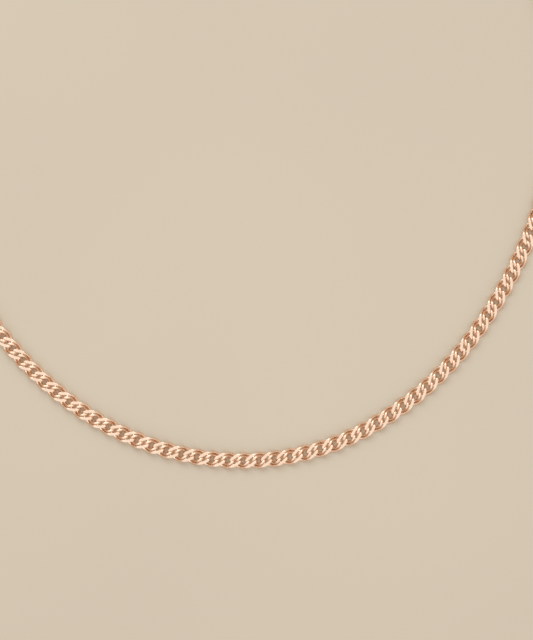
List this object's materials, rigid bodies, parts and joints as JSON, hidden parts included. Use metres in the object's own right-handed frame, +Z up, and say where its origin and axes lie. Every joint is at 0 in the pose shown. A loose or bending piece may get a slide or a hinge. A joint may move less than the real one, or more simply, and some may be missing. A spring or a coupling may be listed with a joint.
{
  "type": "chain necklace",
  "caption": "Flat double-curb chain necklace of paired oval rings, diamond-cut flat, with a lobster clasp and catch ring, laid open on a surface.",
  "frame": {"origin": "middle of the bounding box, on the surface that the necklace lies on", "axes": "+Z up out of the surface, +Y from the front of the necklace towards the clasp, +X to the right as seen from above"},
  "size_m": [0.1434, 0.1578, 0.0035],
  "materials": {
    "chain_gold": "polished rose gold with flat-cut faces",
    "clasp_gold": "polished rose gold",
    "spring_steel": "bright spring steel"
  },
  "bodies": {
    "middle_links": {"middle_links": "chain_gold"},
    "right_links_01": {"right_links_01": "chain_gold"},
    "right_links_02": {"right_links_02": "chain_gold"},
    "right_links_03": {"right_links_03": "chain_gold"},
    "right_links_04": {"right_links_04": "chain_gold"},
    "right_links_05": {"right_links_05": "chain_gold"},
    "right_links_06": {"right_links_06": "chain_gold"},
    "right_links_07": {"right_links_07": "chain_gold"},
    "right_links_08": {"right_links_08": "chain_gold"},
    "right_links_09": {"right_links_09": "chain_gold"},
    "right_links_10": {"right_links_10": "chain_gold"},
    "right_links_11": {"right_links_11": "chain_gold"},
    "right_links_12": {"right_links_12": "chain_gold"},
    "right_links_13": {"right_links_13": "chain_gold"},
    "right_links_14": {"right_links_14": "chain_gold"},
    "right_links_15": {"right_links_15": "chain_gold"},
    "right_links_16": {"right_links_16": "chain_gold"},
    "right_links_17": {"right_links_17": "chain_gold"},
    "right_links_18": {"right_links_18": "chain_gold"},
    "right_links_19": {"right_links_19": "chain_gold"},
    "right_links_20": {"right_links_20": "chain_gold", "right_end_eye": "clasp_gold"},
    "left_links_01": {"left_links_01": "chain_gold"},
    "left_links_02": {"left_links_02": "chain_gold"},
    "left_links_03": {"left_links_03": "chain_gold"},
    "left_links_04": {"left_links_04": "chain_gold"},
    "left_links_05": {"left_links_05": "chain_gold"},
    "left_links_06": {"left_links_06": "chain_gold"},
    "left_links_07": {"left_links_07": "chain_gold"},
    "left_links_08": {"left_links_08": "chain_gold"},
    "left_links_09": {"left_links_09": "chain_gold"},
    "left_links_10": {"left_links_10": "chain_gold"},
    "left_links_11": {"left_links_11": "chain_gold"},
    "left_links_12": {"left_links_12": "chain_gold"},
    "left_links_13": {"left_links_13": "chain_gold"},
    "left_links_14": {"left_links_14": "chain_gold"},
    "left_links_15": {"left_links_15": "chain_gold"},
    "left_links_16": {"left_links_16": "chain_gold"},
    "left_links_17": {"left_links_17": "chain_gold"},
    "left_links_18": {"left_links_18": "chain_gold"},
    "left_links_19": {"left_links_19": "chain_gold"},
    "left_links_20": {"left_links_20": "chain_gold", "left_end_eye": "clasp_gold"},
    "right_jump_ring": {"right_jump_ring": "clasp_gold"},
    "left_jump_ring": {"left_jump_ring": "clasp_gold"},
    "catch_ring": {"catch_ring": "clasp_gold"},
    "clasp": {"clasp_body": "clasp_gold", "clasp_pin": "clasp_gold", "clasp_spring": "spring_steel"},
    "clasp_lever": {"clasp_lever": "clasp_gold"}
  },
  "joints": [
    {"name": "right_jump_ring_swing", "type": "hinge", "parent": "right_links_20", "child": "right_jump_ring", "pos_m": [0.01205, 0.07472, 0.0011], "axis": [0.2756, 0.9613, 0], "range_deg": [0, 20]},
    {"name": "left_jump_ring_swing", "type": "hinge", "parent": "left_links_20", "child": "left_jump_ring", "pos_m": [-0.01127, 0.0736, 0.0011], "axis": [0.309, -0.9511, 0], "range_deg": [0, 20]},
    {"name": "catch_ring_swing", "type": "hinge", "parent": "right_jump_ring", "child": "catch_ring", "pos_m": [0.01035, 0.07521, 0.0011], "axis": [0, 0, 1], "range_deg": [-30, 30]},
    {"name": "clasp_swing", "type": "hinge", "parent": "left_jump_ring", "child": "clasp", "pos_m": [-0.00958, 0.07414, 0.0011], "axis": [0, 0, 1], "range_deg": [-30, 30]},
    {"name": "clasp_lever_press", "type": "hinge", "parent": "clasp", "child": "clasp_lever", "pos_m": [-0.0062, 0.07461, 0.0011], "axis": [0, 0, 1], "range_deg": [0, 22], "stiffness_Nm_per_rad": 0.0015, "springref_deg": -20.05},
    {"name": "right_link_01_bend", "type": "hinge", "parent": "middle_links", "child": "right_links_01", "pos_m": [0.00518, -0.07688, 0.0008], "axis": [0.0915, -0.9958, 0], "range_deg": [0, 12]},
    {"name": "right_link_02_sway", "type": "hinge", "parent": "right_links_01", "child": "right_links_02", "pos_m": [0.01538, -0.07499, 0.0008], "axis": [0, 0, 1], "range_deg": [-6, 1.5]},
    {"name": "right_link_03_bend", "type": "hinge", "parent": "right_links_02", "child": "right_links_03", "pos_m": [0.02505, -0.07127, 0.0008], "axis": [0.4423, -0.8969, 0], "range_deg": [0, 12]},
    {"name": "right_link_04_sway", "type": "hinge", "parent": "right_links_03", "child": "right_links_04", "pos_m": [0.03397, -0.06598, 0.0008], "axis": [0, 0, -1], "range_deg": [-2, 6]},
    {"name": "right_link_05_bend", "type": "hinge", "parent": "right_links_04", "child": "right_links_05", "pos_m": [0.04206, -0.05948, 0.0008], "axis": [0.6801, -0.7331, 0], "range_deg": [0, 12]},
    {"name": "right_link_06_sway", "type": "hinge", "parent": "right_links_05", "child": "right_links_06", "pos_m": [0.04914, -0.0519, 0.0008], "axis": [0, 0, 1], "range_deg": [-6, 3]},
    {"name": "right_link_07_bend", "type": "hinge", "parent": "right_links_06", "child": "right_links_07", "pos_m": [0.05513, -0.04343, 0.0008], "axis": [0.8467, -0.5321, 0], "range_deg": [0, 12]},
    {"name": "right_link_08_sway", "type": "hinge", "parent": "right_links_07", "child": "right_links_08", "pos_m": [0.06021, -0.03439, 0.0008], "axis": [0, 0, -1], "range_deg": [-6, 6]},
    {"name": "right_link_09_bend", "type": "hinge", "parent": "right_links_08", "child": "right_links_09", "pos_m": [0.06437, -0.02488, 0.0008], "axis": [0.9351, -0.3543, 0], "range_deg": [0, 12]},
    {"name": "right_link_10_sway", "type": "hinge", "parent": "right_links_09", "child": "right_links_10", "pos_m": [0.06756, -0.015, 0.0008], "axis": [0, 0, 1], "range_deg": [-6, 6]},
    {"name": "right_link_11_bend", "type": "hinge", "parent": "right_links_10", "child": "right_links_11", "pos_m": [0.06945, -0.00481, 0.0008], "axis": [0.9937, -0.1124, 0], "range_deg": [0, 12]},
    {"name": "right_link_12_sway", "type": "hinge", "parent": "right_links_11", "child": "right_links_12", "pos_m": [0.06988, 0.00556, 0.0008], "axis": [0, 0, -1], "range_deg": [-6, 6]},
    {"name": "right_link_13_bend", "type": "hinge", "parent": "right_links_12", "child": "right_links_13", "pos_m": [0.06883, 0.01588, 0.0008], "axis": [0.9851, 0.1721, 0], "range_deg": [0, 12]},
    {"name": "right_link_14_sway", "type": "hinge", "parent": "right_links_13", "child": "right_links_14", "pos_m": [0.06632, 0.02594, 0.0008], "axis": [0, 0, 1], "range_deg": [-6, 6]},
    {"name": "right_link_15_bend", "type": "hinge", "parent": "right_links_14", "child": "right_links_15", "pos_m": [0.0624, 0.03554, 0.0008], "axis": [0.8967, 0.4426, 0], "range_deg": [0, 12]},
    {"name": "right_link_16_sway", "type": "hinge", "parent": "right_links_15", "child": "right_links_16", "pos_m": [0.05716, 0.04449, 0.0008], "axis": [0, 0, -1], "range_deg": [-6, 6]},
    {"name": "right_link_17_bend", "type": "hinge", "parent": "right_links_16", "child": "right_links_17", "pos_m": [0.0507, 0.05261, 0.0008], "axis": [0.7357, 0.6773, 0], "range_deg": [0, 12]},
    {"name": "right_link_18_sway", "type": "hinge", "parent": "right_links_17", "child": "right_links_18", "pos_m": [0.04315, 0.05972, 0.0008], "axis": [0, 0, 1], "range_deg": [-6, 6]},
    {"name": "right_link_19_bend", "type": "hinge", "parent": "right_links_18", "child": "right_links_19", "pos_m": [0.03466, 0.06568, 0.0008], "axis": [0.515, 0.8572, 0], "range_deg": [0, 12]},
    {"name": "right_link_20_sway", "type": "hinge", "parent": "right_links_19", "child": "right_links_20", "pos_m": [0.02541, 0.07037, 0.0008], "axis": [0, 0, -1], "range_deg": [-6, 6]},
    {"name": "left_link_01_bend", "type": "hinge", "parent": "middle_links", "child": "left_links_01", "pos_m": [-0.00519, -0.0769, 0.0008], "axis": [-0.0828, -0.9966, 0], "range_deg": [-12, 0]},
    {"name": "left_link_02_sway", "type": "hinge", "parent": "left_links_01", "child": "left_links_02", "pos_m": [-0.01541, -0.07519, 0.0008], "axis": [0, 0, -1], "range_deg": [-6, 1.5]},
    {"name": "left_link_03_bend", "type": "hinge", "parent": "left_links_02", "child": "left_links_03", "pos_m": [-0.02522, -0.07182, 0.0008], "axis": [-0.3987, -0.9171, 0], "range_deg": [-12, 0]},
    {"name": "left_link_04_sway", "type": "hinge", "parent": "left_links_03", "child": "left_links_04", "pos_m": [-0.03438, -0.06695, 0.0008], "axis": [0, 0, 1], "range_deg": [-2, 6]},
    {"name": "left_link_05_bend", "type": "hinge", "parent": "left_links_04", "child": "left_links_05", "pos_m": [-0.04268, -0.06073, 0.0008], "axis": [-0.6528, -0.7576, 0], "range_deg": [-12, 0]},
    {"name": "left_link_06_sway", "type": "hinge", "parent": "left_links_05", "child": "left_links_06", "pos_m": [-0.05008, -0.05346, 0.0008], "axis": [0, 0, -1], "range_deg": [-6, 3]},
    {"name": "left_link_07_bend", "type": "hinge", "parent": "left_links_06", "child": "left_links_07", "pos_m": [-0.05646, -0.04529, 0.0008], "axis": [-0.8266, -0.5628, 0], "range_deg": [-12, 0]},
    {"name": "left_link_08_sway", "type": "hinge", "parent": "left_links_07", "child": "left_links_08", "pos_m": [-0.06172, -0.03634, 0.0008], "axis": [0, 0, 1], "range_deg": [-6, 6]},
    {"name": "left_link_09_bend", "type": "hinge", "parent": "left_links_08", "child": "left_links_09", "pos_m": [-0.06573, -0.02678, 0.0008], "axis": [-0.946, -0.3242, 0], "range_deg": [-12, 0]},
    {"name": "left_link_10_sway", "type": "hinge", "parent": "left_links_09", "child": "left_links_10", "pos_m": [-0.06843, -0.01676, 0.0008], "axis": [0, 0, -1], "range_deg": [-6, 6]},
    {"name": "left_link_11_bend", "type": "hinge", "parent": "left_links_10", "child": "left_links_11", "pos_m": [-0.06976, -0.00648, 0.0008], "axis": [-0.9981, -0.0619, 0], "range_deg": [-12, 0]},
    {"name": "left_link_12_sway", "type": "hinge", "parent": "left_links_11", "child": "left_links_12", "pos_m": [-0.06971, 0.0039, 0.0008], "axis": [0, 0, 1], "range_deg": [-6, 6]},
    {"name": "left_link_13_bend", "type": "hinge", "parent": "left_links_12", "child": "left_links_13", "pos_m": [-0.06827, 0.01417, 0.0008], "axis": [-0.9788, 0.2048, 0], "range_deg": [-12, 0]},
    {"name": "left_link_14_sway", "type": "hinge", "parent": "left_links_13", "child": "left_links_14", "pos_m": [-0.06547, 0.02416, 0.0008], "axis": [0, 0, -1], "range_deg": [-6, 6]},
    {"name": "left_link_15_bend", "type": "hinge", "parent": "left_links_14", "child": "left_links_15", "pos_m": [-0.06136, 0.03368, 0.0008], "axis": [-0.8896, 0.4568, 0], "range_deg": [-12, 0]},
    {"name": "left_link_16_sway", "type": "hinge", "parent": "left_links_15", "child": "left_links_16", "pos_m": [-0.05602, 0.04257, 0.0008], "axis": [0, 0, 1], "range_deg": [-6, 6]},
    {"name": "left_link_17_bend", "type": "hinge", "parent": "left_links_16", "child": "left_links_17", "pos_m": [-0.04953, 0.05067, 0.0008], "axis": [-0.7367, 0.6762, 0], "range_deg": [-12, 0]},
    {"name": "left_link_18_sway", "type": "hinge", "parent": "left_links_17", "child": "left_links_18", "pos_m": [-0.04202, 0.05782, 0.0008], "axis": [0, 0, -1], "range_deg": [-6, 6]},
    {"name": "left_link_19_bend", "type": "hinge", "parent": "left_links_18", "child": "left_links_19", "pos_m": [-0.03362, 0.06391, 0.0008], "axis": [-0.5312, 0.8473, 0], "range_deg": [-12, 0]},
    {"name": "left_link_20_sway", "type": "hinge", "parent": "left_links_19", "child": "left_links_20", "pos_m": [-0.02448, 0.06882, 0.0008], "axis": [0, 0, 1], "range_deg": [-6, 6]}
  ]
}
